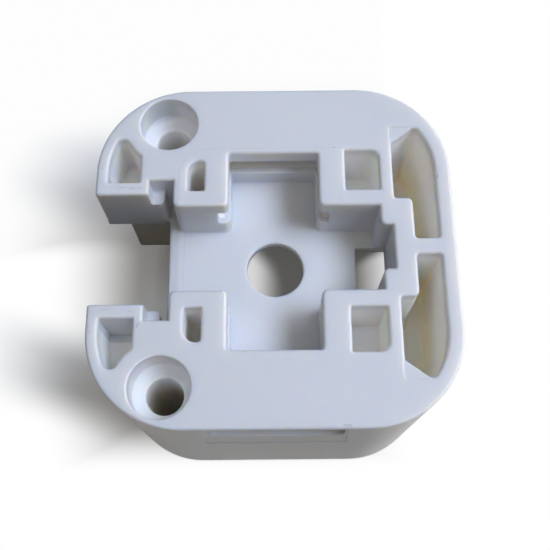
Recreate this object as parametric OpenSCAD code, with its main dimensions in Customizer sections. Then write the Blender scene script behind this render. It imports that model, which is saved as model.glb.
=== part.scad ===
// Motor housing holder: one moulded block with a cross-shaped seat in its top,
// a forked mouth at one end and screw holes beside the mouth.
// All sizes are in millimetres. The origin is under the middle of the body,
// on the face it rests on. +Z is up and the mouth opens towards -X.

/* [Body] */
// Length of the body, mouth face to back face
body_l = 62.5; // [50:0.5:80]
// Width of the body
body_w = 62; // [50:0.5:80]
// Height of the body
body_h = 43; // [36:0.5:60]
// Radius of the four upright corners
corner_r = 16.4; // [10:0.1:20]

/* [Seat] */
// Depth of the seat floor below the top face
seat_depth = 11.4; // [9:0.1:14]
// Thickness of the seat floor
floor_t = 2; // [1.2:0.1:4]
// Width between the two pairs of blocks
throat_w = 16; // [12:0.1:19]
// Length of the cross arm, along the body
arm_l = 16.5; // [12:0.1:19]
// Width of the cross arm, across the body
arm_w = 36.6; // [30:0.1:44]
// Radius of the upright corners at the arm ends
arm_corner_r = 0.8; // [0.3:0.1:2]
// Back wall of the seat, from the body's middle
seat_back_x = 18.8; // [15:0.1:22]
// Length of the narrow step behind the seat
step_l = 2.1; // [1:0.1:3]
// Width of the narrow step and of the floor window
step_w = 8.6; // [5:0.1:12]
// Length of the floor window, up to the end of the step
window_l = 6.1; // [4:0.1:8]
// Diameter of the hole in the seat floor
centre_hole_d = 10.6; // [6:0.1:14]
// Place of that hole along the body
centre_hole_x = 0.2; // [-1:0.1:1]

/* [Mouth] */
// Gap between the two jaws
mouth_w = 20.6; // [17:0.1:24]
// Length of the mouth, from its face to the first blocks
mouth_l = 13.9; // [11:0.1:16]
// Distance from the mouth face to the edge of the seat floor
lip_x = 12; // [8:0.1:13.5]
// Height of the jaws
jaw_h = 13.4; // [12:0.1:18]
// Length of the notch at the root of each jaw
notch_l = 4.8; // [3:0.1:6]
// How far the notch cuts into the jaw
notch_w = 2.8; // [1.5:0.1:4]
// Length of the shelf left in the notch
shelf_l = 2.2; // [1:0.1:3]
// Depth of that shelf below the top face
shelf_depth = 4.2; // [2:0.1:8]

/* [Side slot] */
// Length of the slot that crosses the body
slot_l = 20.2; // [17:0.1:24]
// Depth of the slot's roof below the top face
slot_top = 3.5; // [2:0.1:5]
// Height of the slot
slot_h = 4.1; // [3:0.1:6]
// Radius of the slot's edges
slot_r = 0.5; // [0.2:0.1:1.5]

/* [Screw holes] */
// Distance between the two screw holes
screw_gap = 48.1; // [44:0.1:50]
// Distance of the screw holes from the mouth face
screw_x = 12.5; // [11:0.1:14]
// Diameter of the screw hole
screw_d = 6.5; // [4:0.1:7]
// Diameter of the recess for the screw head
head_d = 10.8; // [9:0.1:11]
// Depth of that recess
head_depth = 5.6; // [3:0.1:9]
// Height of the cone between the recess and the screw hole
cone_h = 2.6; // [0.5:0.1:4]

/* [Relief pockets] */
// Length of the pocket behind each rear block
rear_l = 6.4; // [4:0.1:6.8]
// Width of the pocket behind each rear block
rear_w = 8; // [5:0.1:9]
// Gap between the pocket and the seat wall beside it
rear_wall = 2.6; // [1.5:0.1:4]
// Radius of that pocket's outer corner
rear_r = 1.7; // [0.5:0.1:3]
// Distance between the rear pocket and the end of the body
rear_x = 12.3; // [11:0.1:14]
// Length of the pocket in each front block
front_l = 3.2; // [2:0.1:5]
// Width of the pocket in each front block
front_w = 6.2; // [4:0.1:8]
// Distance from the mouth to that pocket
front_x = 16; // [15.5:0.1:18]
// Radius of that pocket's outer corner towards the mouth
front_r = 2; // [0.5:0.1:2.2]
// Radius of its other outer corner
front_r_in = 0.9; // [0.3:0.1:1]
// Wall between the body's outside and the jaw pocket
jaw_wall = 1.9; // [1.2:0.1:3]
// Wall between the mouth and the jaw pocket
jaw_wall_in = 2; // [1.2:0.1:4]
// Length of the jaw pocket along the mouth
jaw_pocket_l = 6; // [4:0.1:8]
// Depth of the jaw pocket
jaw_pocket_depth = 10.4; // [5:0.1:11.4]
// Wall between the screw-head recess and the jaw pocket
boss_wall = 2.4; // [1.5:0.1:4]

/* [Wells] */
// Depth of the two wells at the back
well_depth = 37; // [20:0.5:40]
// Wall round the wells
well_wall = 2.4; // [1.5:0.1:4]
// Thickness of the rib between the wells
rib_t = 2.4; // [1.5:0.1:4]
// Length of the wells beside the step
well_l = 8; // [6:0.1:9]
// Length of the wells behind the step
well_back_l = 4.8; // [3:0.1:6]
// Half width of the wall behind the step
well_step_y = 8.8; // [7:0.1:11]
// Radius of the wells' upright corners
well_r = 0.8; // [0.3:0.1:1.1]
// Distance from the middle of the body to the slanted end of the wells
well_end_y = 20; // [16:0.1:22]
// Slope of that end
well_end_slope = 37; // [20:1:50]

/* [Underside] */
// Width of the channel under the seat
channel_w = 35.8; // [30:0.1:40]
// Wall between the channel and the wells
channel_wall = 2.3; // [1.5:0.1:4]

/* [Hidden] */
$fn = 96;
eps = 0.02;
past = 1;
mouth_x = -body_l / 2;
seat_x = mouth_x + mouth_l;
seat_z = body_h - seat_depth;
under_z = seat_z - floor_t;
step_x = seat_back_x + step_l;
well_x1 = body_l / 2 - well_wall;
well_x0 = well_x1 - well_l;
screw_cx = mouth_x + screw_x;
fillet_r = 1;

// Flat shape: a rectangle from corner a to corner b, each corner with its own
// radius or 0, in the order low-low, high-low, high-high, low-high.
module rounded(a, b, r) {
    at = [a, [b.x, a.y], b, [a.x, b.y]];
    way = [[1, 1], [-1, 1], [-1, -1], [1, -1]];
    difference() {
        translate(a) square(b - a);
        for (i = [0:3]) if (r[i] > 0) translate(at[i]) corner_cut(way[i], r[i]);
    }
}

// Flat shape: what rounding a square corner takes away.
module corner_cut(way, r) {
    mirror([way.x < 0 ? 1 : 0, 0]) mirror([0, way.y < 0 ? 1 : 0]) difference() {
        translate([-past, -past]) square(r + past);
        translate([r, r]) circle(r);
    }
}

// Flat shape: the body's outline, moved in by a wall.
module outline(wall = 0) {
    r = corner_r - wall;
    half = [body_l, body_w] / 2 - [wall, wall];
    union() {
        translate([-half.x, r - half.y]) square([2 * half.x, 2 * (half.y - r)]);
        translate([r - half.x, -half.y]) square([2 * (half.x - r), 2 * half.y]);
        for (x = [-1, 1], y = [-1, 1])
            translate([x * (half.x - r), y * (half.y - r)]) circle(r);
    }
}

// A flat shape cut down from the top face to a depth.
module sink(depth) {
    translate([0, 0, body_h - depth]) linear_extrude(depth + past) children();
}

// The same cut on both sides of the body.
module both_sides() {
    children();
    mirror([0, 1, 0]) children();
}

// Seat: throat, cross arm, mouth between the jaws and the step at the back.
module seat() {
    sink(seat_depth) {
        translate([seat_x - past, -throat_w / 2])
            square([seat_back_x - seat_x + past, throat_w]);
        rounded([-arm_l / 2, -arm_w / 2], [arm_l / 2, arm_w / 2],
            [arm_corner_r, arm_corner_r, arm_corner_r, arm_corner_r]);
        rounded([seat_back_x - past, -step_w / 2], [step_x, step_w / 2],
            [0, fillet_r, fillet_r, 0]);
        translate([mouth_x - past, -mouth_w / 2]) square([mouth_l + past, mouth_w]);
    }
    // The mouth is open below, up to the edge of the seat floor.
    sink(jaw_h + past)
        translate([mouth_x - past, -mouth_w / 2]) square([lip_x + past, mouth_w]);
    // Window and round hole in the seat floor.
    sink(seat_depth + floor_t + past) {
        rounded([step_x - window_l, -step_w / 2], [step_x, step_w / 2],
            [0, fillet_r, fillet_r, 0]);
        translate([centre_hole_x, 0]) circle(d = centre_hole_d);
    }
}

// Notch at the root of each jaw, with a shelf left in it.
module jaw_notch() {
    x0 = seat_x - notch_l;
    y0 = mouth_w / 2;
    sink(shelf_depth) translate([x0, y0 - past]) square([notch_l, notch_w + past]);
    sink(seat_depth) translate([x0 + shelf_l, y0 - past])
        square([notch_l - shelf_l, notch_w + past]);
}

// Slot that crosses the body from side to side, above the seat floor.
module side_slot() {
    z1 = body_h - slot_top;
    translate([0, body_w / 2 + past, 0]) rotate([90, 0, 0])
        linear_extrude(body_w + 2 * past)
            rounded([-slot_l / 2, z1 - slot_h], [slot_l / 2, z1],
                [slot_r, slot_r, slot_r, slot_r]);
}

// Screw hole, with a recess and a cone for the screw head.
module screw_hole() {
    translate([screw_cx, screw_gap / 2, 0]) {
        translate([0, 0, -past]) cylinder(h = body_h + 2 * past, d = screw_d);
        translate([0, 0, body_h - head_depth]) cylinder(h = head_depth + past, d = head_d);
        translate([0, 0, body_h - head_depth - cone_h])
            cylinder(h = cone_h + eps, d1 = screw_d, d2 = head_d);
    }
}

// Pockets that take the thickness out of the jaws and blocks.
module relief_pockets() {
    sink(jaw_pocket_depth) difference() {
        intersection() {
            outline(jaw_wall);
            translate([mouth_x, mouth_w / 2 + jaw_wall_in])
                square([jaw_wall + jaw_pocket_l, body_w / 2]);
        }
        translate([screw_cx, screw_gap / 2]) circle(d = head_d + 2 * boss_wall);
    }
    sink(seat_depth) {
        rounded([body_l / 2 - rear_x - rear_l, throat_w / 2 + rear_wall],
            [body_l / 2 - rear_x, throat_w / 2 + rear_wall + rear_w],
            [0, 0, rear_r, 0]);
        rounded([mouth_x + front_x, throat_w / 2 + rear_wall],
            [mouth_x + front_x + front_l, throat_w / 2 + rear_wall + front_w],
            [0, 0, front_r_in, front_r]);
    }
}

// Flat shape of one well: an L round the end of the step, inside the outline's
// wall, with a slanted outer end.
module well_shape() {
    intersection() {
        outline(well_wall);
        union() {
            rounded([well_x0, well_step_y], [well_x1, body_w / 2],
                [well_r, 0, 0, 0]);
            rounded([well_x1 - well_back_l, rib_t / 2], [well_x1, body_w / 2],
                [well_r, well_r, 0, 0]);
        }
        polygon([[well_x0 - past, 0], [well_x1 + past, 0],
            [well_x1 + past, well_end_y + (well_l + past) * tan(well_end_slope)],
            [well_x0 - past, well_end_y - past * tan(well_end_slope)]]);
    }
}

module wells() {
    sink(well_depth) well_shape();
}

// Channel under the seat, open at the bottom and at the mouth end.
module channel() {
    end_x = well_x0 - channel_wall;
    translate([mouth_x - past, -channel_w / 2, -past])
        cube([end_x - mouth_x + past, channel_w, under_z + past]);
    translate([0, -step_w / 2, -past]) cube([step_x, step_w, under_z + past]);
}

module holder_body() {
    color([0.86, 0.88, 0.9]) difference() {
        linear_extrude(body_h) outline();
        seat();
        side_slot();
        channel();
        both_sides() {
            jaw_notch();
            screw_hole();
            relief_pockets();
            wells();
        }
    }
}

holder_body();
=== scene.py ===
"""Looks of a moulded motor housing holder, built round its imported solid.

The holder is one white moulded block. It is cut from a rounded block by the
mould's hollows: each is an outline that narrows towards its floor and widens
in a small radius at its rim. Sizes are in millimetres unless a name says
otherwise, and are turned into metres where a mesh is made.
"""

import logging
import math
from dataclasses import dataclass
from enum import Enum
from functools import reduce
from typing import Any, Iterable, Sequence

import bmesh
import bpy
from mathutils import Matrix, Vector

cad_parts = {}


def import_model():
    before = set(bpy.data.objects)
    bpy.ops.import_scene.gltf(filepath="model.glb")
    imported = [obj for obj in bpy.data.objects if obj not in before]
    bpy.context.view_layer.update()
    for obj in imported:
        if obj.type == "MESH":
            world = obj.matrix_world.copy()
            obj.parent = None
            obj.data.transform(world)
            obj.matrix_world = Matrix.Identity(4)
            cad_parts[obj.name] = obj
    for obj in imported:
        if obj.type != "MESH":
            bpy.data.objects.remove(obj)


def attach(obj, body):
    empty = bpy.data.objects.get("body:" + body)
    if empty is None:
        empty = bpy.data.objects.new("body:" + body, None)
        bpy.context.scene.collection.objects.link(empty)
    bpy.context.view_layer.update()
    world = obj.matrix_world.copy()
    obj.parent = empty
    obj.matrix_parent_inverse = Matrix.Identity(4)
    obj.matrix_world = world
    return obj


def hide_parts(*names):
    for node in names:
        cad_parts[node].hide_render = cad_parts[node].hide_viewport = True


LOG = logging.getLogger("holder")
MM = 0.001
BODY = "root"
NODE = "holder_body"
# The Mix node keeps sockets for several kinds of value. These are its colours.
MIX_SHARE, MIX_LOW, MIX_HIGH, MIX_RESULT = 0, 6, 7, 2

Colour = tuple[float, float, float]
Point = tuple[float, float]
Corner = tuple[float, float, float]
Span = tuple[float, float]


class Socket:
    """A value in a shader tree that can be used in Python expressions."""

    def __init__(self, tree: "ShaderTree", link: Any) -> None:
        """Keep the tree and the output socket.

        Args:
            tree: The tree that the socket belongs to.
            link: The output socket itself.
        """
        self.tree = tree
        self.link = link

    def _math(self, operation: str, *values: Any) -> "Socket":
        """Return the result of a Math node on the values."""
        return self.tree.node("ShaderNodeMath", {"operation": operation}, values)

    def __add__(self, other: Any) -> "Socket":
        """Return self + other."""
        return self._math("ADD", self, other)

    def __radd__(self, other: Any) -> "Socket":
        """Return other + self."""
        return self._math("ADD", other, self)

    def __sub__(self, other: Any) -> "Socket":
        """Return self - other."""
        return self._math("SUBTRACT", self, other)

    def __rsub__(self, other: Any) -> "Socket":
        """Return other - self."""
        return self._math("SUBTRACT", other, self)

    def __mul__(self, other: Any) -> "Socket":
        """Return self * other."""
        return self._math("MULTIPLY", self, other)

    def __rmul__(self, other: Any) -> "Socket":
        """Return other * self."""
        return self._math("MULTIPLY", other, self)

    def __truediv__(self, other: Any) -> "Socket":
        """Return self / other."""
        return self._math("DIVIDE", self, other)

    def __abs__(self) -> "Socket":
        """Return the absolute value."""
        return self._math("ABSOLUTE", self)

    def least(self, other: Any) -> "Socket":
        """Return the smaller of self and other."""
        return self._math("MINIMUM", self, other)

    def most(self, other: Any) -> "Socket":
        """Return the larger of self and other."""
        return self._math("MAXIMUM", self, other)

    def root(self) -> "Socket":
        """Return the square root."""
        return self._math("SQRT", self)

    def ramp(self, low: float, high: float) -> "Socket":
        """Return 0 below low and 1 above high, with a smooth rise between.

        Args:
            low: Value where the result is 0.
            high: Value where the result is 1. It may lie below low.

        Returns:
            The smooth step.
        """
        settings = {"interpolation_type": "SMOOTHSTEP", "clamp": True}
        ends = (low, high, 0.0, 1.0) if low < high else (high, low, 1.0, 0.0)
        return self.tree.node("ShaderNodeMapRange", settings, (self, *ends))


class ShaderTree:
    """A material's or world's node tree, built from Python expressions."""

    def __init__(self, tree: bpy.types.NodeTree) -> None:
        """Clear the tree.

        Args:
            tree: The node tree to fill.
        """
        self.tree = tree
        tree.nodes.clear()

    def node(
        self,
        kind: str,
        settings: dict[str, Any] | None = None,
        inputs: Sequence[Any] | dict[int | str, Any] = (),
        output: int | str = 0,
    ) -> Socket:
        """Add a node, set it up and link it.

        Args:
            kind: The node's type.
            settings: Attributes that are set before the inputs.
            inputs: Values or sockets, in order or by the socket's place or name.
            output: The output that is returned, by place or by name.

        Returns:
            The chosen output.
        """
        made = self.tree.nodes.new(kind)
        for name, value in (settings or {}).items():
            setattr(made, name, value)
        pairs = inputs.items() if isinstance(inputs, dict) else enumerate(inputs)
        for key, value in pairs:
            if isinstance(value, Socket):
                self.tree.links.new(value.link, made.inputs[key])
            else:
                made.inputs[key].default_value = value
        return Socket(self, made.outputs[output] if made.outputs else None)

    def mix(self, share: Any, low: Any, high: Any) -> Socket:
        """Mix two colours.

        Args:
            share: 0 gives low and 1 gives high.
            low: A colour or a colour socket.
            high: A colour or a colour socket.

        Returns:
            The mixed colour.
        """
        ends = [(*end, 1.0) if isinstance(end, tuple) else end for end in (low, high)]
        inputs = {MIX_SHARE: share, MIX_LOW: ends[0], MIX_HIGH: ends[1]}
        return self.node("ShaderNodeMix", {"data_type": "RGBA"}, inputs, MIX_RESULT)

    def place(self) -> tuple[Socket, Socket, Socket, Socket]:
        """Read the object's own coordinates.

        Returns:
            The coordinates as a vector, then x, y and z, all in mm.
        """
        where = self.node("ShaderNodeTexCoord", output="Object")
        scale = (1 / MM, 1 / MM, 1 / MM)
        in_mm = self.node("ShaderNodeVectorMath", {"operation": "MULTIPLY"}, (where, scale))
        x, y, z = (self.node("ShaderNodeSeparateXYZ", None, (in_mm,), axis) for axis in "XYZ")
        return in_mm, x, y, z

    def seen(self) -> Socket:
        """Tell the rays that show a thing from those that light other things.

        Returns:
            1 for the camera's rays and for mirrored and refracted ones, else 0.
        """
        camera, mirrored, refracted = (
            self.node("ShaderNodeLightPath", output=f"Is {kind} Ray")
            for kind in ("Camera", "Glossy", "Transmission")
        )
        return camera.most(mirrored).most(refracted)

    def noise(self, where: Socket, scale: float, detail: float) -> Socket:
        """Return a noise value about 0.5.

        Args:
            where: The coordinates, in mm.
            scale: Waves for each mm.
            detail: The number of finer layers.

        Returns:
            The noise's value.
        """
        inputs = {"Vector": where, "Scale": scale, "Detail": detail}
        return self.node("ShaderNodeTexNoise", None, inputs)


@dataclass(frozen=True)
class HolderSizes:
    """The block's sizes, as its solid has them.

    Only the slot differs, by 0.2 mm in its top and height, because it widens.
    """

    body_l: float = 62.5
    body_w: float = 62.0
    body_h: float = 43.0
    corner_r: float = 16.4
    seat_depth: float = 11.4
    floor_t: float = 2.0
    throat_w: float = 16.0
    arm_l: float = 16.5
    arm_w: float = 36.6
    seat_back_x: float = 18.8
    step_l: float = 2.1
    step_w: float = 8.6
    window_l: float = 6.1
    centre_hole_d: float = 10.6
    centre_hole_x: float = 0.2
    mouth_w: float = 20.6
    mouth_l: float = 13.9
    lip_x: float = 12.0
    notch_l: float = 4.8
    notch_w: float = 2.8
    shelf_l: float = 2.2
    shelf_depth: float = 4.2
    slot_l: float = 20.2
    slot_top: float = 3.3
    slot_h: float = 4.3
    screw_gap: float = 48.1
    screw_x: float = 12.5
    screw_d: float = 6.5
    head_d: float = 10.8
    head_depth: float = 5.6
    cone_h: float = 2.6
    rear_l: float = 6.4
    rear_w: float = 8.0
    rear_wall: float = 2.6
    rear_r: float = 1.7
    rear_x: float = 12.3
    front_l: float = 3.2
    front_w: float = 6.2
    front_x: float = 16.0
    jaw_wall: float = 1.9
    jaw_wall_in: float = 2.0
    jaw_pocket_l: float = 6.0
    jaw_pocket_depth: float = 10.4
    boss_wall: float = 2.4
    well_wall: float = 2.4
    rib_t: float = 2.4
    well_l: float = 8.0
    well_back_l: float = 4.8
    well_step_y: float = 8.8
    well_r: float = 0.8
    well_end_y: float = 20.0
    well_end_slope: float = 37.0
    channel_w: float = 35.8
    channel_wall: float = 2.3


@dataclass(frozen=True)
class Mark:
    """A fine mark on the top face, from one point to another.

    Its core is the share of its width where it shows in full.
    """

    start: Point
    end: Point
    width: float = 0.14
    shade: float = 0.5
    core: float = 0.3

    def shown(self, x: Socket, y: Socket) -> Socket:
        """Return how strongly the mark shows at a place.

        Args:
            x: The place's x in mm.
            y: The place's y in mm.

        Returns:
            The mark's shade along its middle, falling to 0 at its sides.
        """
        run = (self.end[0] - self.start[0], self.end[1] - self.start[1])
        length_squared = run[0] ** 2 + run[1] ** 2
        across, up = x - self.start[0], y - self.start[1]
        share = ((across * run[0] + up * run[1]) / length_squared).most(0.0).least(1.0)
        across, up = across - share * run[0], up - share * run[1]
        away = (across * across + up * up).root()
        return away.ramp(self.width, self.core * self.width) * self.shade


def beyond_outline(x: Socket, y: Socket) -> Socket:
    """Return how far a place lies outside the block's outline, below 0 inside it.

    Args:
        x: The place's x in mm.
        y: The place's y in mm.

    Returns:
        The distance in mm.
    """
    sizes = HolderSizes()
    side_x = (abs(x) - (sizes.body_l / 2 - sizes.corner_r)).most(0.0)
    side_y = (abs(y) - (sizes.body_w / 2 - sizes.corner_r)).most(0.0)
    return (side_x * side_x + side_y * side_y).root() - sizes.corner_r


def strongest(shares: Iterable[Socket]) -> Socket:
    """Return the largest of several values at each place."""
    return reduce(Socket.most, shares)


TOP_MARKS = (
    # Scuffs along the back jaw's edge.
    Mark((-27.1, 11.35), (-25.9, 11.4), shade=0.30),
    Mark((-25.3, 11.3), (-24.3, 11.2), shade=0.45),
    Mark((-23.8, 11.3), (-22.9, 11.3), shade=0.35),
    # Pin marks on both jaws.
    Mark((-30.45, 15.2), (-30.4, 15.2), width=0.42, shade=0.16),
    Mark((-30.45, -14.8), (-30.4, -14.8), width=0.42, shade=0.16),
    # Scuffs on the front jaw.
    Mark((-30.7, -13.6), (-30.6, -14.5), shade=0.20),
    Mark((-22.5, -13.35), (-22.75, -14.1), shade=0.55),
    Mark((-24.3, -11.2), (-23.5, -11.5), shade=0.25),
    Mark((-28.95, -11.0), (-27.3, -11.05), shade=0.22),
    # Nicks by the well, by the seat and at the outline's edge.
    Mark((28.98, 13.4), (28.92, 12.7), width=0.12, shade=0.6),
    Mark((10.85, 18.97), (10.95, 18.97), width=0.16, shade=0.55),
    Mark((19.2, 10.45), (19.35, 10.5), width=0.14, shade=0.35),
    Mark((10.8, -30.4), (11.9, -30.45), width=0.22, shade=0.4),
)


@dataclass(frozen=True)
class MouldLine:
    """A fine line where two parts of the mould met.

    It makes a quarter turn round its centre, towards -X and the way_y of Y, and
    runs straight on. Each of its ends is an axis with the places where the line
    is gone and where it shows in full.
    """

    centre: Point
    radius: float
    way_y: float
    ends: tuple[tuple[str, float, float], ...]
    span: Span = (0.13, 0.04)

    def shown(self, places: dict[str, Socket]) -> Socket:
        """Return how strongly the line shows at a place.

        Args:
            places: The place's x, y and depth below the top in mm, by those names.

        Returns:
            1 on the line, falling to 0 beside it and beyond its ends.
        """
        across = self.centre[0] - places["x"]
        up = (places["y"] - self.centre[1]) * self.way_y
        out_x, out_y = across.most(0.0), up.most(0.0)
        within = across.most(up).least(0.0)
        away = abs((out_x * out_x + out_y * out_y).root() + within - self.radius)
        shown = away.ramp(*self.span)
        for axis, gone, full in self.ends:
            shown = shown * places[axis].ramp(gone, full)
        return shown


MOULD_LINES = (
    # Round the insert that shaped the seat.
    MouldLine(
        (-11.1, 13.4),
        5.5,
        way_y=1.0,
        ends=(("x", 13.1, 12.8), ("y", -8.5, -8.0), ("depth", 12.2, 11.6)),
    ),
    # Across the corner of the back jaw.
    MouldLine(
        (-28.4, 13.6),
        2.15,
        way_y=-1.0,
        ends=(("x", -27.0, -28.0), ("y", 15.2, 14.2), ("y", 9.0, 10.5), ("depth", 0.3, 0.1)),
    ),
)


@dataclass(frozen=True)
class MouldedPlastic:
    """The finish of the block: white plastic, satin from the mould.

    Light that gets into the pockets bounces about between pale walls and comes
    out warmer, so the colour turns warm and pale with the depth of a hollow.
    The spans are places in mm, from where a change starts to where it is full.
    """

    name: str = "moulded_white"
    colour: Colour = (0.737, 0.758, 0.797)
    # Painted shade: the colour darkens towards the mouth, the side away from the lamps, and a
    # little at random with the clouds.
    cloud_and_shade_share: float = 0.93
    painted_shade_x: Span = (12.0, -30.0)
    cloud_weight: float = 0.3
    cloud_scale: float = 0.035
    cloud_detail: float = 2.0
    cloud_span: Span = (0.3, 0.7)
    # Painted shade on the mouth's faces, between the jaws.
    mouth_shade_share: float = 0.84
    mouth_shade_depths: Span = (0.6, 1.6)
    pocket_colour: Colour = (1.0, 0.99, 0.965)
    pocket_depths: Span = (0.3, 3.2)
    well_colour: Colour = (0.99, 0.945, 0.82)
    well_depths: Span = (10.0, 19.0)
    screw_share: float = 0.5
    past_wall: float = 0.6
    fade: float = 0.4
    roughness: float = 0.42
    grain_in_roughness: float = 0.10
    cloud_in_roughness: float = 0.08
    ior: float = 1.48
    specular: float = 0.3
    grain_scale: float = 2.2
    grain_detail: float = 4.0
    grain_height: float = 0.0015
    line_shade: float = 0.10
    line_height: float = 0.02
    scratch_colour: Colour = (0.30, 0.31, 0.33)
    scratch_depth: float = 0.01
    skin_depths: Span = (0.3, 0.1)
    glow: Colour = (1.0, 0.78, 0.5)
    glow_depth: float = 2.8

    def material(self) -> bpy.types.Material:
        """Make the finish.

        Returns:
            The material.
        """
        made = bpy.data.materials.new(self.name)
        made.use_nodes = True
        tree = ShaderTree(made.node_tree)
        where, x, y, z = tree.place()
        depth = HolderSizes.body_h - z
        cloud = tree.noise(where, self.cloud_scale, self.cloud_detail)
        grain = tree.noise(where, self.grain_scale, self.grain_detail)
        places = {"x": x, "y": y, "depth": depth}
        lines = strongest(line.shown(places) for line in MOULD_LINES)
        scratched = strongest(mark.shown(x, y) for mark in TOP_MARKS)
        scratched = scratched * depth.ramp(*self.skin_depths)
        # Painted bounced light: the colour turns pale and warm deep in the pockets and wells.
        inner = tree.mix(depth.ramp(*self.well_depths), self.pocket_colour, self.well_colour)
        base = self._outer_colour(tree, cloud, places)
        base = tree.mix(self._bounced_light_share(x, y, depth), base, inner)
        base = tree.mix(scratched, base, self.scratch_colour)
        base = tree.mix(lines * self.line_shade, base, self.scratch_colour)
        rough = self.roughness + (grain - 0.5) * self.grain_in_roughness
        rough = rough + (cloud - 0.5) * self.cloud_in_roughness
        height = grain * self.grain_height + lines * self.line_height
        height = height - scratched * self.scratch_depth
        bump = tree.node(
            "ShaderNodeBump", None, {"Strength": 1.0, "Distance": MM, "Height": height}
        )
        shader = tree.node(
            "ShaderNodeBsdfPrincipled",
            None,
            {
                "Base Color": base,
                "Roughness": rough,
                "IOR": self.ior,
                "Specular IOR Level": self.specular,
                "Normal": bump,
                "Subsurface Weight": 1.0,
                "Subsurface Radius": self.glow,
                "Subsurface Scale": self.glow_depth * MM,
            },
        )
        tree.node("ShaderNodeOutputMaterial", None, {"Surface": shader})
        return made

    def _darkened(self, share: float) -> Colour:
        """Return the plastic's colour, darkened to a share of itself."""
        red, green, blue = self.colour
        return (share * red, share * green, share * blue)

    def _outer_colour(
        self, tree: ShaderTree, cloud: Socket, places: dict[str, Socket]
    ) -> Socket:
        """Work out the colour of the outside and the seat.

        Args:
            tree: The tree to build in.
            cloud: A slow noise, for faint clouds in the plastic.
            places: The place's x, y and depth below the top in mm, by those names.

        Returns:
            The colour with painted shade: darker towards the mouth, which faces away from the
                lamps, and more so on the mouth's faces. Faint clouds also darken it a little at
                random.
        """
        x, y = places["x"], places["y"]
        sizes = HolderSizes()
        # Painted shade towards the mouth, away from the lamps; the clouds add random tone.
        from_cloud = cloud.ramp(*self.cloud_span) * self.cloud_weight
        cloud_and_shade = from_cloud + x.ramp(*self.painted_shade_x) * (1 - self.cloud_weight)
        base = tree.mix(cloud_and_shade, self.colour, self._darkened(self.cloud_and_shade_share))
        # Painted shade on the mouth's faces, which lie in shadow between the jaws.
        face_y = sizes.mouth_w / 2 + 1.0
        face_x = sizes.mouth_l - sizes.body_l / 2 - 0.85
        painted_mouth_shade = abs(y).ramp(face_y + self.past_wall, face_y) * x.ramp(face_x + 1.0, face_x)
        painted_mouth_shade = painted_mouth_shade * places["depth"].ramp(*self.mouth_shade_depths)
        return tree.mix(painted_mouth_shade, base, self._darkened(self.mouth_shade_share))

    def _bounced_light_share(self, x: Socket, y: Socket, depth: Socket) -> Socket:
        """Find the places that get painted bounced light: deep in the pockets and wells, and under
        the seat floor.

        Args:
            x: The place's x in mm.
            y: The place's y in mm.
            depth: The place's depth below the top in mm.

        Returns:
            1 deep in the pockets and wells and in the hollow under the seat floor, and 0 on the
            seat and the outside.
        """
        sizes = HolderSizes()
        fade = self.fade
        throat, arm, arm_end, mouth = (
            size / 2 + self.past_wall
            for size in (sizes.throat_w, sizes.arm_w, sizes.arm_l, sizes.mouth_w)
        )
        step = sizes.seat_back_x + sizes.step_l + 0.2
        block = sizes.mouth_l - sizes.body_l / 2
        jaw = mouth + sizes.notch_w
        off_throat = abs(y).ramp(throat, throat + fade).most(x.ramp(step, step + fade))
        off_arm = abs(x).ramp(arm_end, arm_end + fade).most(abs(y).ramp(arm, arm + fade))
        off_mouth = x.ramp(block - fade, block).most(abs(y).ramp(jaw, jaw + fade))
        screw_x = x - (sizes.screw_x - sizes.body_l / 2)
        screw_y = abs(y) - sizes.screw_gap / 2
        from_screw = (screw_x * screw_x + screw_y * screw_y).root()
        head, bore = sizes.head_d / 2 + self.past_wall, sizes.screw_d / 2 + 0.15
        in_bore = from_screw.ramp(bore + fade, bore) * 0.5
        off_screw = from_screw.ramp(head, head + self.past_wall).most(in_bore)
        inside = (beyond_outline(x, y) * -1.0).ramp(sizes.jaw_wall - 0.7, sizes.jaw_wall)
        off_seat = off_throat * off_arm * off_mouth
        share = off_seat * (off_screw * (1 - self.screw_share) + self.screw_share)
        # Painted light: under the seat floor, towards the window, the hollow gets the pale colour
        # as if lit.
        under_seat = sizes.seat_depth + self.past_wall
        below = depth.ramp(under_seat, under_seat + 1.0) * x.ramp(4.0, 8.0)
        return (share * depth.ramp(*self.pocket_depths)).most(below) * inside


class Facing(Enum):
    """The way that a hollow opens."""

    UP = "up"
    SIDE = "side"
    FAR_SIDE = "far side"
    MOUTH = "mouth"

    def frame(self) -> Matrix:
        """Find the turn that stands a hollow in the block.

        Returns:
            The turn from the hollow's own axes, with Z outwards, to the block's.
        """
        axes = {
            Facing.UP: ((1, 0, 0), (0, 1, 0), (0, 0, 1)),
            Facing.SIDE: ((1, 0, 0), (0, 0, 1), (0, -1, 0)),
            Facing.FAR_SIDE: ((-1, 0, 0), (0, 0, 1), (0, 1, 0)),
            Facing.MOUTH: ((0, -1, 0), (0, 0, 1), (-1, 0, 0)),
        }[self]
        return Matrix(axes).transposed().to_4x4()


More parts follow.
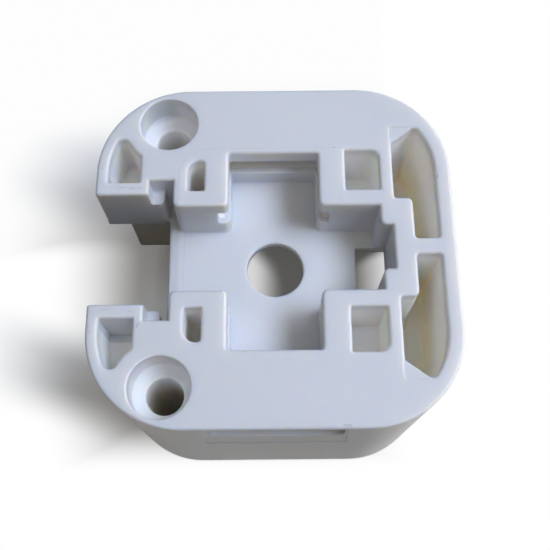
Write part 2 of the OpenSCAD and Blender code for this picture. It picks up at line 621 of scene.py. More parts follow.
@dataclass
class Outline:
    """A closed flat outline with rounded corners, which can grow or shrink.

    The corners run anticlockwise round what the outline holds. Each is x, y
    and a radius. A gentle bend, as along an arc, stays one point.
    """

    corners: list[Corner]
    gentle: float = 16.0
    step: float = 15.0

    def ring(self, grown: float) -> list[Point]:
        """Return the outline's points, moved out by a distance.

        Args:
            grown: How far the outline moves out, or in where it is negative.

        Returns:
            The points, as many for every distance.
        """
        points: list[Point] = []
        count = len(self.corners)
        for i, here in enumerate(self.corners):
            after = self.corners[(i + 1) % count]
            points.extend(self._corner(self.corners[i - 1], here, after, grown))
        return points

    def _corner(
        self, before: Corner, here: Corner, after: Corner, grown: float
    ) -> list[Point]:
        """Round one corner.

        Args:
            before: The corner before this one.
            here: The corner itself.
            after: The corner after it.
            grown: How far the outline moves out, or in where it is negative.

        Returns:
            The corner's points, a single one where it is a gentle bend.
        """
        way_in = math.atan2(here[1] - before[1], here[0] - before[0])
        way_out = math.atan2(after[1] - here[1], after[0] - here[0])
        turn = (way_out - way_in + math.pi) % (2 * math.pi) - math.pi
        side = 1.0 if turn > 0 else -1.0
        stretch = 1 / math.cos(turn / 2)
        middle = way_in + turn / 2 - math.pi / 2
        outward = (math.cos(middle), math.sin(middle))
        reach = grown * stretch
        tip = (here[0] + reach * outward[0], here[1] + reach * outward[1])
        if abs(turn) < math.radians(self.gentle) and here[2] == 0:
            return [tip]
        steps = max(2, round(math.degrees(abs(turn)) / self.step))
        radius = here[2] + side * grown
        if radius <= 0:
            return [tip] * (steps + 1)
        back = side * here[2] * stretch
        centre = (here[0] - back * outward[0], here[1] - back * outward[1])
        angles = (way_in + turn * k / steps - math.pi / 2 for k in range(steps + 1))
        return [
            (
                centre[0] + side * radius * math.cos(angle),
                centre[1] + side * radius * math.sin(angle),
            )
            for angle in angles
        ]


@dataclass
class Round:
    """A circle that can grow or shrink."""

    x: float
    y: float
    radius: float
    steps: int = 72

    def ring(self, grown: float) -> list[Point]:
        """Return the circle's points, moved out by a distance.

        Args:
            grown: How far the circle moves out, or in where it is negative.

        Returns:
            The points, anticlockwise.
        """
        turns = (2 * math.pi * k / self.steps for k in range(self.steps))
        reach = self.radius + grown
        return [(self.x + reach * math.cos(a), self.y + reach * math.sin(a)) for a in turns]


def box(x0: float, y0: float, x1: float, y1: float, *radii: float) -> Outline:
    """Return a rectangle's outline.

    Args:
        x0: Low end in x.
        y0: Low end in y.
        x1: High end in x.
        y1: High end in y.
        radii: One radius for all corners, or one for each, low-low first.

    Returns:
        The outline, anticlockwise.
    """
    each = radii if len(radii) == 4 else (radii or (0.0,)) * 4
    places = ((x0, y0), (x1, y0), (x1, y1), (x0, y1))
    return Outline([(x, y, r) for (x, y), r in zip(places, each)])


def arc(centre: Point, radius: float, start: float, end: float, step: float = 4.0) -> list[Corner]:
    """Return the points of an arc as gentle corners of an outline.

    Args:
        centre: The arc's centre.
        radius: Its radius.
        start: The angle it starts at, in degrees.
        end: The angle it ends at, in degrees, below start where it runs clockwise.
        step: The largest angle between two points.

    Returns:
        The corners, both ends included.
    """
    count = max(2, math.ceil(abs(end - start) / step))
    angles = (math.radians(start + (end - start) * k / count) for k in range(count + 1))
    return [
        (centre[0] + radius * math.cos(a), centre[1] + radius * math.sin(a), 0.0) for a in angles
    ]


def quarter(steps: int = 5) -> list[Point]:
    """Divide a quarter turn of radius 1.

    Args:
        steps: The number of its straight pieces.

    Returns:
        Pairs of rise and swing, from (0, 0) to (1, 1).
    """
    turns = (math.pi / 2 * k / steps for k in range(steps + 1))
    return [(math.sin(a), 1 - math.cos(a)) for a in turns]


def loft(name: str, rings: Sequence[Sequence[Vector]]) -> bpy.types.Object:
    """Return a closed solid through rings of as many points each.

    Args:
        name: The solid's name.
        rings: The rings, in mm, from one end to the other.

    Returns:
        The solid, linked to the scene.
    """
    work = bmesh.new()
    made = [[work.verts.new(point * MM) for point in ring] for ring in rings]
    count = len(made[0])
    for low, high in zip(made, made[1:]):
        for i in range(count):
            k = (i + 1) % count
            work.faces.new((low[i], low[k], high[k], high[i]))
    work.faces.new(list(reversed(made[0])))
    work.faces.new(made[-1])
    bmesh.ops.remove_doubles(work, verts=work.verts[:], dist=1e-7)
    bmesh.ops.recalc_face_normals(work, faces=work.faces[:])
    mesh = bpy.data.meshes.new(name)
    work.to_mesh(mesh)
    work.free()
    solid = bpy.data.objects.new(name, mesh)
    bpy.context.scene.collection.objects.link(solid)
    return solid


@dataclass
class Hollow:
    """A hollow of the mould, which narrows from its rim to its floor.

    Heights are measured along the way that it opens, from the block's origin.
    The lip is the radius of its rim and the fillet that of its floor, which
    the bowl makes higher. A hole through a wall has an under_lip in place of a
    fillet. The draft is in degrees.
    """

    name: str
    shape: Outline | Round
    floor: float
    rim: float
    lip: float = 0.5
    fillet: float = 0.35
    under_lip: float = 0.0
    draft: float = 0.5
    facing: Facing = Facing.UP
    past: float = 1.5
    inset: float = 0.25
    bowl: float = 1.0

    def profile(self) -> list[Point]:
        """Draw the hollow's wall from the floor to beyond the rim.

        The walls stand in from the outline, which runs through the rounded rim.

        Returns:
            Pairs of height and growth.
        """
        slope = math.tan(math.radians(self.draft))
        foot = -slope * (self.rim - self.floor)
        pairs: list[Point] = []
        if self.under_lip:
            pairs.append((self.floor - self.past, foot + self.under_lip))
            for rise, swing in reversed(quarter()):
                height = self.floor + self.under_lip * (1 - rise)
                pairs.append((height, foot + self.under_lip * swing))
        elif self.fillet:
            for rise, swing in quarter():
                height = self.floor + self.fillet * self.bowl * swing
                pairs.append((height, foot - self.fillet * (1 - rise)))
        else:
            pairs.append((self.floor, foot))
        if self.lip:
            for rise, swing in quarter():
                pairs.append((self.rim - self.lip * (1 - rise), self.lip * swing))
        pairs.append((self.rim + self.past, self.lip))
        return [(height, growth - self.inset) for height, growth in pairs]

    def tool(self) -> bpy.types.Object:
        """Make the solid that cuts the hollow.

        Returns:
            The closed solid, linked to the scene.
        """
        turn = self.facing.frame()
        rings = [
            [turn @ Vector((x, y, height)) for x, y in self.shape.ring(grown)]
            for height, grown in self.profile()
        ]
        return loft(self.name, rings)


def straight(
    name: str, shape: Outline | Round, floor: float, rim: float, **changes: Any
) -> Hollow:
    """Return a hollow with upright walls and sharp edges.

    Args:
        name: The hollow's name.
        shape: Its outline.
        floor: The height of its floor.
        rim: The height of its rim.
        changes: Fields of the hollow that differ from that.

    Returns:
        The hollow.
    """
    plain = {"lip": 0.0, "fillet": 0.0, "draft": 0.0, "inset": 0.0}
    return Hollow(name, shape, floor, rim, **(plain | changes))


@dataclass
class HolderBody:
    """The moulded block, cut from a rounded block by the mould's hollows.

    The fields are what the solid leaves out or has in a plainer form. The
    panel's low and high edges are measured down from the block's top.
    """

    sizes: HolderSizes = HolderSizes()
    # The block's own edges.
    top_radius: float = 0.5
    foot_radius: float = 0.6
    foot_inset: float = 0.3
    edge_radius: float = 0.7
    outline_step: float = 3.0
    # Corner and lip radii of the seat and what opens from it.
    arm_r: float = 0.8
    throat_back_r: float = 0.3
    step_r: float = 0.4
    notch_r: float = 0.3
    window_r: float = 0.3
    channel_r: float = 0.8
    opening_lip: float = 0.3
    # How far cuts run past what they go through, or into what they join.
    below_foot: float = 5.0
    beyond: float = 2.5
    through: float = 1.0
    joined: float = 0.3
    # The mouth, the side panels and the slot's flared ends.
    mouth_flare: float = 1.2
    mouth_gap: float = 0.1
    floor_edge_in: float = 0.6
    panel_low_x: float = 12.85
    panel_high_x: float = 11.7
    panel_low: float = 16.2
    panel_high: float = 0.8
    panel_sunk: float = 0.22
    slot_draft: float = 5.0
    slot_r: float = 0.5
    # The wells, and the open foot that shows through the window.
    seen_well_depth: float = 19.5
    well_floor_r: float = 0.7
    well_bowl: float = 7.0
    foot_opening_h: float = 21.5
    foot_opening_w: float = 34.0
    foot_opening_x: float = 27.5
    shaft_past_step: float = 1.4
    shaft_wall: float = 1.2
    # The pockets' corners and tips, and the screw recesses.
    pocket_r: float = 0.4
    pocket_inset: float = 0.15
    front_round_r: float = 2.3
    jaw_tip: float = 1.4
    well_tip: float = 1.2
    tip_step: float = 14.0
    recess_inset: float = 0.2
    web_depth: float = 0.2

    def __post_init__(self) -> None:
        """Work out the places that several hollows share."""
        sizes = self.sizes
        self.mouth_x = -sizes.body_l / 2
        self.seat_x = self.mouth_x + sizes.mouth_l
        self.seat_z = sizes.body_h - sizes.seat_depth
        self.under_z = self.seat_z - sizes.floor_t
        self.step_x = sizes.seat_back_x + sizes.step_l
        self.well_x1 = sizes.body_l / 2 - sizes.well_wall
        self.well_x0 = self.well_x1 - sizes.well_l
        self.screw = (self.mouth_x + sizes.screw_x, sizes.screw_gap / 2)
        self.corner = (sizes.body_l / 2 - sizes.corner_r, sizes.body_w / 2 - sizes.corner_r)

    def build(self, finish: bpy.types.Material) -> bpy.types.Object:
        """Cut the block and dress it.

        Args:
            finish: The block's material.

        Returns:
            The finished piece.
        """
        block = self._blank()
        tools = [hollow.tool() for hollow in self._hollows()]
        for tool in tools:
            cut = block.modifiers.new(tool.name, "BOOLEAN")
            cut.operation = "DIFFERENCE"
            cut.solver = "MANIFOLD"
            cut.object = tool
        apply(block)
        for tool in tools:
            bpy.data.objects.remove(tool)
        block.data.materials.clear()
        block.data.materials.append(finish)
        soften(block)
        return block

    def _blank(self) -> bpy.types.Object:
        """Make the block that the hollows are cut from.

        Returns:
            The rounded block, a little narrower at its foot.
        """
        sizes = self.sizes
        half = (sizes.body_l / 2, sizes.body_w / 2)
        shape = box(-half[0], -half[1], half[0], half[1], sizes.corner_r)
        shape.step = self.outline_step
        pairs = []
        for rise, swing in quarter():
            inset = self.foot_inset + self.foot_radius * (1 - rise)
            pairs.append((self.foot_radius * swing, -inset))
        for rise, swing in quarter():
            height = sizes.body_h - self.top_radius * (1 - rise)
            pairs.append((height, -self.top_radius * swing))
        rings = [[Vector((x, y, z)) for x, y in shape.ring(grown)] for z, grown in pairs]
        return loft("moulded_block", rings)

    def _hollows(self) -> list[Hollow]:
        """Gather all hollows of the mould.

        Returns:
            The hollows, in the order that they are cut.
        """
        found = [self._seat(), *self._mouth(), *self._floor_openings(), self._channel()]
        found.extend(self._side_slots())
        found.extend(self._foot_opening())
        for side in (1, -1):
            name = "left" if side > 0 else "right"
            found.append(self._notch(name, side))
            found.extend(self._screw_hole(name, side))
            found.extend(self._relief_pockets(name, side))
            found.extend(self._well(name, side))
        return found

    def _seat(self) -> Hollow:
        """Draw the cross-shaped seat, with the mouth and the step.

        Returns:
            The seat, open beyond the block at the mouth.
        """
        sizes = self.sizes
        edge = self.edge_radius
        mouth, throat, arm, step = (
            width / 2 for width in (sizes.mouth_w, sizes.throat_w, sizes.arm_w, sizes.step_w)
        )
        notch_x = self.seat_x - sizes.notch_l + sizes.shelf_l
        half: list[Corner] = [
            (self.mouth_x - self.beyond, -mouth - self.mouth_flare, 0.0),
            (self.mouth_x, -mouth - self.mouth_flare, 0.0),
            (self.mouth_x, -mouth, edge),
            (notch_x, -mouth, edge),
            (notch_x, -mouth - sizes.notch_w, edge),
            (self.seat_x, -mouth - sizes.notch_w, 0.0),
            (self.seat_x, -throat, edge),
            (-sizes.arm_l / 2, -throat, edge),
            (-sizes.arm_l / 2, -arm, self.arm_r),
            (sizes.arm_l / 2, -arm, self.arm_r),
            (sizes.arm_l / 2, -throat, edge),
            (sizes.seat_back_x, -throat, self.throat_back_r),
            (sizes.seat_back_x, -step, edge),
            (self.step_x, -step, self.step_r),
        ]
        other = [(x, -y, radius) for x, y, radius in reversed(half)]
        return Hollow("seat", Outline(half + other), self.seat_z, sizes.body_h)

    def _mouth(self) -> list[Hollow]:
        """Draw the drop through the mouth and the round edge of the seat floor.

        Returns:
            The drop and the edge.
        """
        sizes = self.sizes
        far = self.mouth_x - self.beyond
        lip = self.mouth_x + sizes.lip_x
        half = sizes.mouth_w / 2 - self.mouth_gap
        drop = box(far, -half, lip, half)
        half = half - self.floor_edge_in
        edge = box(far, -half, lip, half)
        upright = {"fillet": 0.0, "draft": 0.0}
        rounded = {"lip": 0.0, "under_lip": 0.9, "past": self.joined}
        return [
            Hollow("drop", drop, self.under_z, self.seat_z + 0.2, **rounded, **upright),
            Hollow("floor_edge", edge, self.under_z - self.through, self.seat_z, **upright),
        ]

    def _floor_openings(self) -> list[Hollow]:
        """Draw the round hole and the window in the seat floor.

        Returns:
            The hole, the window and the window's round edge.
        """
        sizes = self.sizes
        hole = Round(sizes.centre_hole_x, 0.0, sizes.centre_hole_d / 2)
        start = self.step_x - sizes.window_l
        half = sizes.step_w / 2
        radii = (self.window_r, self.step_r, self.step_r, self.window_r)
        window = box(start, -half, self.step_x, half, *radii)
        edge = box(start, -half, sizes.seat_back_x - 0.5, half)
        lip, inset, low = self.opening_lip, Hollow.inset, self.under_z - self.through
        opened = {"past": self.joined, "inset": inset}
        lips = {"lip": lip, "under_lip": lip, "inset": 0.1}
        return [
            straight("centre_hole", hole, self.under_z, self.seat_z, **lips),
            straight("window", window, -self.through, self.seat_z + 0.1, **opened),
            straight("window_edge", edge, low, self.seat_z, lip=lip, inset=inset),
        ]

    def _channel(self) -> Hollow:
        """Draw the channel under the seat.

        Returns:
            The channel, open at the mouth and at the foot.
        """
        sizes = self.sizes
        half = sizes.channel_w / 2
        end = self.well_x0 - sizes.channel_wall
        radii = (0.0, 0.0, self.channel_r, self.channel_r)
        shape = box(-half, -self.below_foot, half, self.under_z, *radii)
        edges = {"lip": 1.2, "fillet": 0.5}
        return straight("channel", shape, -end, -self.mouth_x, facing=Facing.MOUTH, **edges)

    def _side_slots(self) -> list[Hollow]:
        """Draw the slot through the block's sides.

        Returns:
            The slot between the arms, its flared outer ends and the panels round them.
        """
        sizes = self.sizes
        half = sizes.body_w / 2
        floor = half - self.panel_sunk
        inner = sizes.arm_w / 2
        start = inner - self.through
        flare = math.tan(math.radians(self.slot_draft)) * (floor - inner + self.through)
        top = sizes.body_h - sizes.slot_top
        low = top - sizes.slot_h
        wide = sizes.slot_l / 2
        slot = box(-wide, low, wide, top, self.slot_r)
        outer_r = self.slot_r + flare
        end = box(-wide - flare, low - flare, wide + flare, top + flare, outer_r)
        low, high = sizes.body_h - self.panel_low, sizes.body_h - self.panel_high
        panel = Outline(
            [
                (-self.panel_low_x, low, 1.0),
                (self.panel_low_x, low, 0.6),
                (self.panel_high_x, high, 0.3),
                (-self.panel_high_x, high, 0.3),
            ]
        )
        flared = {"lip": 0.2, "draft": self.slot_draft}
        sunk = {"lip": self.panel_sunk / 2, "inset": Hollow.inset}
        found = [straight("slot", slot, -inner, inner, facing=Facing.SIDE)]
        for name, way in (("side", Facing.SIDE), ("far_side", Facing.FAR_SIDE)):
            found.append(straight(f"{name}_slot_end", end, start, floor, facing=way, **flared))
            found.append(straight(f"{name}_panel", panel, floor, half, facing=way, **sunk))
        return found

    def _foot_opening(self) -> list[Hollow]:
        """Open the foot under the wells, so that ground shows through the window.

        Returns:
            The opening at the foot and the shaft from it to the window.
        """
        sizes = self.sizes
        start, high = self.step_x - sizes.window_l, self.foot_opening_h
        half = self.foot_opening_w / 2
        opening = box(start, -half, self.foot_opening_x, half)
        half = sizes.well_step_y - self.shaft_wall
        shaft = box(start, -half, self.step_x + self.shaft_past_step, half)
        past = Hollow.past
        return [
            straight("foot_opening", opening, -self.through, high - past),
            straight("window_shaft", shaft, high - self.through, self.under_z - past),
        ]

    def _notch(self, name: str, side: int) -> Hollow:
        """Draw the shallow part of the notch at the root of a jaw.

        Args:
            name: The side's name.
            side: 1 for the side towards +Y and -1 for the other.

        Returns:
            The notch.
        """
        sizes = self.sizes
        start = self.seat_x - sizes.notch_l
        end = start + sizes.shelf_l + self.through
        inner = sizes.mouth_w / 2
        ends = sorted((side * (inner - self.through), side * (inner + sizes.notch_w)))
        shape = box(start, ends[0], end, ends[1], self.notch_r)
        return Hollow(f"{name}_notch", shape, sizes.body_h - sizes.shelf_depth, sizes.body_h)

    def _screw_hole(self, name: str, side: int) -> list[Hollow]:
        """Draw a screw hole and the recess for its head.

        Args:
            name: The side's name.
            side: 1 for the side towards +Y and -1 for the other.

        Returns:
            The hole, the recess and the cone that joins them.
        """
        sizes = self.sizes
        x, y = self.screw[0], side * self.screw[1]
        seat = sizes.body_h - sizes.head_depth
        bore = Round(x, y, sizes.screw_d / 2)
        recess = Round(x, y, sizes.head_d / 2 - self.recess_inset)
        slope = math.degrees(math.atan2(recess.radius - bore.radius, sizes.cone_h))
        foot = seat - sizes.cone_h
        return [
            straight(f"{name}_screw_hole", bore, -self.through, seat, past=0.0),
            straight(f"{name}_screw_head", recess, seat, sizes.body_h, lip=0.25),
            straight(f"{name}_screw_cone", recess, foot, seat, draft=slope, past=0.01),
        ]

    def _relief_pockets(self, name: str, side: int) -> list[Hollow]:
        """Draw the pockets of one side's jaw and blocks.

        Args:
            name: The side's name.
            side: 1 for the side towards +Y and -1 for the other.

        Returns:
            The pockets in the rear block, the front block and the jaw.
        """
        sizes = self.sizes
        small = self.pocket_r
        low = sizes.throat_w / 2 + sizes.rear_wall
        rear_x1 = sizes.body_l / 2 - sizes.rear_x
        rear_x0, high = rear_x1 - sizes.rear_l, low + sizes.rear_w
        rear = box(rear_x0, low, rear_x1, high, small, small, sizes.rear_r, small)
        front_x0, high = self.mouth_x + sizes.front_x, low + sizes.front_w
        front_radii = (small, small, 0.9, self.front_round_r)
        front = box(front_x0, low, front_x0 + sizes.front_l, high, *front_radii)
        pockets = (
            ("rear", rear, self.seat_z),
            ("front", front, self.seat_z),
            ("jaw", self._jaw_shape(), sizes.body_h - sizes.jaw_pocket_depth),
        )
        rim, inset = sizes.body_h, self.pocket_inset
        return [
            Hollow(f"{name}_{part}_pocket", flipped(shape, side), floor, rim, inset=inset)
            for part, shape, floor in pockets
        ]

    def _jaw_shape(self) -> Outline:
        """Draw the jaw pocket between the block's wall and the screw's boss.

        Returns:
            The outline. Its far end is a round tip that touches both arcs.
        """
        sizes = self.sizes
        wall_r = sizes.corner_r - sizes.jaw_wall
        boss_r = sizes.head_d / 2 + sizes.boss_wall
        low = sizes.mouth_w / 2 + sizes.jaw_wall_in
        end = self.mouth_x + sizes.jaw_wall + sizes.jaw_pocket_l
        wall_c = (-self.corner[0], self.corner[1])
        start = math.degrees(math.acos((self.screw[0] - end) / boss_r))
        across = (self.screw[0] - wall_c[0], self.screw[1] - wall_c[1])
        apart = math.hypot(*across)
        line = math.degrees(math.atan2(across[1], across[0]))
        boss_turn = angle_between(boss_r + self.jaw_tip, apart, wall_r - self.jaw_tip)
        wall_turn = angle_between(wall_r - self.jaw_tip, apart, boss_r + self.jaw_tip)
        tip = polar(self.screw, boss_r + self.jaw_tip, line + 180 - boss_turn)
        tip_turns = (line - boss_turn, line + wall_turn)
        return Outline(
            [
                (self.mouth_x + sizes.jaw_wall, low, self.pocket_r),
                (end, low, self.pocket_r),
                *arc(self.screw, boss_r, 180 + start, line + 180 - boss_turn),
                *arc(tip, self.jaw_tip, *tip_turns, self.tip_step)[1:-1],
                *arc(wall_c, wall_r, line + wall_turn, 180),
            ]
        )

    def _well_tip(self) -> Point:
        """Find the centre of the round tip at a well's slanted end.

        It lies on a line beside the slanted end and inside the wall's arc.

        Returns:
            The centre, on the side towards +Y.
        """
        sizes = self.sizes
        end = (self.well_x0, sizes.well_end_y)
        beside = polar(end, self.well_tip, sizes.well_end_slope - 90)
        slope = math.radians(sizes.well_end_slope)
        start = (beside[0] - self.corner[0], beside[1] - self.corner[1])
        along = start[0] * math.cos(slope) + start[1] * math.sin(slope)
        off = start[1] * math.cos(slope) - start[0] * math.sin(slope)
        reach = math.sqrt((sizes.corner_r - sizes.well_wall - self.well_tip) ** 2 - off**2)
        return polar(beside, reach - along, sizes.well_end_slope)

    def _well(self, name: str, side: int) -> list[Hollow]:
        """Draw one of the two deep wells at the back.

        Args:
            name: The side's name.
            side: 1 for the side towards +Y and -1 for the other.

        Returns:
            The well and the low web at its slanted end.
        """
        sizes = self.sizes
        tip = self._well_tip()
        turn = math.degrees(math.atan2(tip[1] - self.corner[1], tip[0] - self.corner[0]))
        back_x = self.well_x1 - sizes.well_back_l
        well = Outline(
            [
                (back_x, sizes.rib_t / 2, sizes.well_r),
                (self.well_x1, sizes.rib_t / 2, sizes.well_r),
                *arc(self.corner, sizes.corner_r - sizes.well_wall, 0, turn),
                *arc(tip, self.well_tip, turn, sizes.well_end_slope + 90, self.tip_step)[1:],
                (self.well_x0, sizes.well_end_y, 0.6),
                (self.well_x0, sizes.well_step_y, sizes.well_r),
                (back_x, sizes.well_step_y, self.edge_radius),
            ]
        )
        web_y = (sizes.well_end_y - 2.0, tip[1] + self.well_tip)
        web = box(self.well_x0, web_y[0], tip[0] - 0.6, web_y[1], 0, 0, 0.3, 0.7)
        rim = sizes.body_h
        deep, low = rim - self.seen_well_depth, rim - self.web_depth
        bowl = {"fillet": self.well_floor_r, "bowl": self.well_bowl}
        return [
            Hollow(f"{name}_well", flipped(well, side), deep, rim, **bowl),
            straight(f"{name}_web", flipped(web, side), low, rim, lip=0.12),
        ]


def polar(start: Point, reach: float, turn: float) -> Point:
    """Step from a point.

    Args:
        start: The point to start at.
        reach: How far to go.
        turn: The direction, in degrees from X towards Y.

    Returns:
        The point that is reached.
    """
    angle = math.radians(turn)
    return (start[0] + reach * math.cos(angle), start[1] + reach * math.sin(angle))


def angle_between(near: float, far: float, opposite: float) -> float:
    """Return a triangle's angle, in degrees, between two sides and facing the third."""
    return math.degrees(math.acos((near**2 + far**2 - opposite**2) / (2 * near * far)))


def flipped(shape: Outline, side: int) -> Outline:
    """Bring an outline to its side of the block.

    Args:
        shape: The outline, on the side towards +Y.
        side: 1 for the side towards +Y and -1 for the other.

    Returns:
        The outline, mirrored where the side is the other.
    """
    if side > 0:
        return shape
    mirrored = [(x, -y, radius) for x, y, radius in reversed(shape.corners)]
    return Outline(mirrored, shape.gentle, shape.step)


def apply(piece: bpy.types.Object) -> None:
    """Bake a piece's modifiers into its mesh.

    Args:
        piece: The piece.
    """
    seen = piece.evaluated_get(bpy.context.evaluated_depsgraph_get())
    mesh = bpy.data.meshes.new_from_object(seen)
    piece.modifiers.clear()
    piece.data = mesh


def soften(piece: bpy.types.Object, angle: float = 32.0) -> None:
    """Shade a piece smoothly, with its flat faces kept flat.

    Args:
        piece: The piece.
        angle: The bend in degrees above which an edge stays sharp.
    """
    for face in piece.data.polygons:
        face.use_smooth = True
    piece.data.set_sharp_from_angle(angle=math.radians(angle))
    normals = piece.modifiers.new("normals", "WEIGHTED_NORMAL")
    normals.keep_sharp = True
    normals.weight = 100
    apply(piece)


@dataclass(frozen=True)
class Lamp:
    """A soft distant light. Its angles and its spread are in degrees."""

    name: str
    azimuth: float
    elevation: float
    strength: float
    colour: Colour
    spread: float = 24.0

    def hang(self) -> None:
        """Add the light to the scene."""
        data = bpy.data.lights.new(self.name, "SUN")
        data.energy = self.strength * math.pi
        data.color = self.colour
        data.angle = math.radians(self.spread)
        lamp = bpy.data.objects.new(self.name, data)
        bpy.context.scene.collection.objects.link(lamp)
        rise, bearing = math.radians(self.elevation), math.radians(self.azimuth)
        flat = math.cos(rise)
        towards = Vector((flat * math.cos(bearing), flat * math.sin(bearing), math.sin(rise)))
        lamp.rotation_mode = "QUATERNION"
        lamp.rotation_quaternion = towards.to_track_quat("Z", "Y")


COOL = (0.763, 0.837, 1.0)
NEUTRAL = (1.0, 0.98, 0.94)
WARM = (1.0, 0.841, 0.616)
LAMPS = (
    Lamp("window", 0.0, 54.0, 0.543, COOL),
    Lamp("window_front", -18.0, 54.0, 0.165, COOL),
    Lamp("window_back", 28.0, 54.0, 0.23, COOL),
    Lamp("overhead", 0.0, 88.0, 0.065, NEUTRAL, 50.0),
    Lamp("room_high", 240.0, 72.0, 0.075, WARM, 40.0),
    Lamp("room_low", 300.0, 11.0, 0.07, WARM, 20.0),
    Lamp("behind", 5.0, 2.5, 0.40, (1.0, 0.86, 0.62), 5.0),
)


@dataclass(frozen=True)
class PaleFloor:
    """The finish of the floor: pale ground that fades to white round the block.

    The fading is for what the camera sees, directly or mirrored, so it puts no
    light on the block. Light that falls on the block from below comes from the
    plain colours, which differ in front of the block and under it. Spans are
    places in mm, from where a change starts to where it is full. Away is the
    distance from the block's outline, below 0 under it.
    """

    name: str = "pale_floor"
    colour: Colour = (0.17, 0.165, 0.16)
    front_colour: Colour = (0.07, 0.068, 0.065)
    front_y: Span = (-28.0, -34.0)
    under_colour: Colour = (0.92, 0.92, 0.9)
    under_away: Span = (-1.0, -4.0)
    under_x: Span = (-14.0, -10.0)
    shown: Colour = (0.68, 0.69, 0.69)
    least_white: float = 0.04
    near_white: float = 0.08
    far_white: float = 0.85
    jaw_shadow_lean: float = 0.325
    back_shadow: float = 32.0
    front_shadow: float = -16.5
    hole_white: float = 0.6
    hole_least: float = 0.025
    window_white: float = 0.75

    def material(self) -> bpy.types.Material:
        """Make the finish.

        Returns:
            The material.
        """
        made = bpy.data.materials.new(self.name)
        made.use_nodes = True
        tree = ShaderTree(made.node_tree)
        seen = tree.seen()
        _, x, y, _ = tree.place()
        away = beyond_outline(x, y)
        under = away.ramp(*self.under_away) * x.ramp(*self.under_x)
        plain = tree.mix(y.ramp(*self.front_y), self.colour, self.front_colour)
        plain = tree.mix(under, plain, self.under_colour)
        colour = tree.mix(seen, plain, self.shown)
        matt = tree.node("ShaderNodeBsdfDiffuse", None, (colour,))
        white = tree.node("ShaderNodeEmission", None, ((1.0, 1.0, 1.0, 1.0), 1.0))
        faded = self._round_block(x, y, away) + self._through_hole(x, y, away)
        faded = faded.most(self._lit_side(x, y, away)).most(self._through_window(x, y, away))
        mixed = tree.node("ShaderNodeMixShader", None, (seen * faded, matt, white))
        tree.node("ShaderNodeOutputMaterial", None, {"Surface": mixed})
        return made

    def _round_block(self, x: Socket, y: Socket, away: Socket) -> Socket:
        """Fade the ground round the block, with the long shadows of the two jaws.

        Args:
            x: The place's x in mm.
            y: The place's y in mm.
            away: How far it lies outside the block's outline, in mm.

        Returns:
            How white the ground is.
        """
        near = away.ramp(-8.0, -2.0) * self.near_white + self.least_white
        plain = away.ramp(-6.0, 34.0) * self.far_white + near
        clear = plain.most(away.ramp(-8.0, 20.0) * y.ramp(27.0, 14.0))
        # The shadows run on to the left, a little towards +Y.
        level = y + (x + HolderSizes.body_l / 2) * self.jaw_shadow_lean
        back = abs(level - self.back_shadow).ramp(18.0, 4.0)
        front = abs(level - self.front_shadow).ramp(13.0, 2.0)
        shaded = (away - back * 3.0).ramp(10.0, 38.0) * self.far_white + near
        return clear + (shaded - clear) * back.most(front)

    def _through_hole(self, x: Socket, y: Socket, away: Socket) -> Socket:
        """Light the ground below the round hole, where light comes in by the mouth.

        Args:
            x: The place's x in mm.
            y: The place's y in mm.
            away: How far it lies outside the block's outline, in mm.

        Returns:
            How much whiter the ground is.
        """
        beam = (y + (x + 5.0) * 0.9).ramp(19.5, 13.0) * x.ramp(-12.0, -8.0)
        share = x.ramp(2.5, -5.5) * beam * self.hole_white + self.hole_least
        return away.ramp(-2.0, -4.0) * share

    def _lit_side(self, x: Socket, y: Socket, away: Socket) -> Socket:
        """Whiten the ground on the block's right and in front of it.

        Args:
            x: The place's x in mm.
            y: The place's y in mm.
            away: How far it lies outside the block's outline, in mm.

        Returns:
            How white the ground is.
        """
        return x.ramp(0.0, 30.0).most(y.ramp(-20.5, -33.0)) * away.ramp(-1.0, 0.0)

    def _through_window(self, x: Socket, y: Socket, away: Socket) -> Socket:
        """Light the ground below the window, where light comes in under the wells.

        Args:
            x: The place's x in mm.
            y: The place's y in mm.
            away: How far it lies outside the block's outline, in mm.

        Returns:
            How white the ground is.
        """
        beam = (y - (x - 18.0) * 0.45).ramp(14.8, 10.8)
        return x.ramp(15.0, 28.0) * beam * away.ramp(0.0, -1.0) * self.window_white


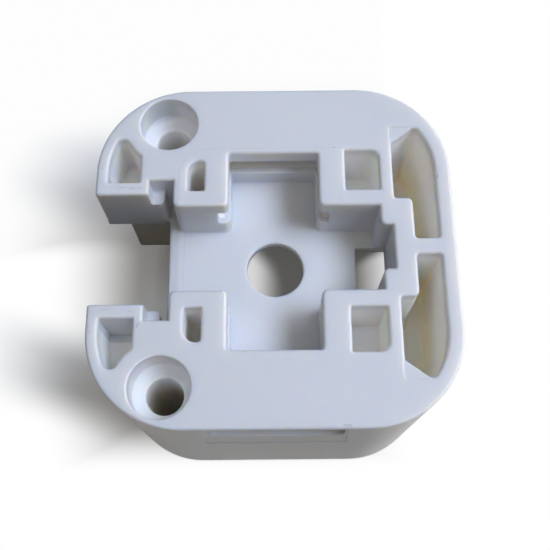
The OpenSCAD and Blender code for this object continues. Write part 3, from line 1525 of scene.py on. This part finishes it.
@dataclass
class Studio:
    """The pale floor, the soft lights and the camera.

    The camera's place is in mm, and its turns are in degrees.
    """

    camera_place: Corner = (-0.13, -50.01, 167.4)
    camera_tilt: float = 19.816
    camera_roll: float = -0.521
    camera_turn: float = -0.108
    lens: float = 51.42
    sky_colour: Colour = (1.0, 0.95, 0.88)
    sky: float = 0.01
    floor_size: float = 3000.0

    def build(self) -> None:
        """Make the camera, the lights, the world and the floor."""
        self._camera()
        for lamp in LAMPS:
            lamp.hang()
        self._sky()
        self._floor()

    def _camera(self) -> None:
        """Stand the camera where the photograph was taken from."""
        data = bpy.data.cameras.new("camera")
        data.sensor_width = 36.0
        data.lens = self.lens
        data.clip_start = 0.01
        data.clip_end = 20.0
        camera = bpy.data.objects.new("camera", data)
        bpy.context.scene.collection.objects.link(camera)
        turn = (
            Matrix.Rotation(math.radians(self.camera_tilt), 4, "X")
            @ Matrix.Rotation(math.radians(self.camera_turn), 4, "Y")
            @ Matrix.Rotation(math.radians(self.camera_roll), 4, "Z")
        )
        camera.matrix_world = Matrix.Translation(Vector(self.camera_place) * MM) @ turn
        bpy.context.scene.camera = camera

    def _sky(self) -> None:
        """Light the block from all round, and show white behind it."""
        world = bpy.data.worlds.new("studio")
        world.use_nodes = True
        bpy.context.scene.world = world
        tree = ShaderTree(world.node_tree)
        light = tree.node("ShaderNodeBackground", None, ((*self.sky_colour, 1.0), self.sky))
        white = tree.node("ShaderNodeBackground", None, ((1.0, 1.0, 1.0, 1.0), 1.0))
        mixed = tree.node("ShaderNodeMixShader", None, (tree.seen(), light, white))
        tree.node("ShaderNodeOutputWorld", None, {"Surface": mixed})

    def _floor(self) -> None:
        """Lay the pale floor under the block."""
        mesh = bpy.data.meshes.new("floor")
        half = self.floor_size / 2 * MM
        corners = [(-half, -half, 0), (half, -half, 0), (half, half, 0), (-half, half, 0)]
        mesh.from_pydata(corners, [], [(0, 1, 2, 3)])
        mesh.materials.append(PaleFloor().material())
        floor = bpy.data.objects.new("floor", mesh)
        bpy.context.scene.collection.objects.link(floor)


def main() -> None:
    """Build the block and its studio."""
    logging.basicConfig(level=logging.INFO, format="%(name)s: %(message)s")
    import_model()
    bpy.context.scene.view_settings.view_transform = "Standard"
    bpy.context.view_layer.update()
    Studio().build()
    finish = MouldedPlastic().material()
    block = HolderBody().build(finish)
    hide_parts(NODE)
    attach(block, BODY)
    LOG.info("block: %d faces", len(block.data.polygons))


if __name__ == "__main__":
    main()
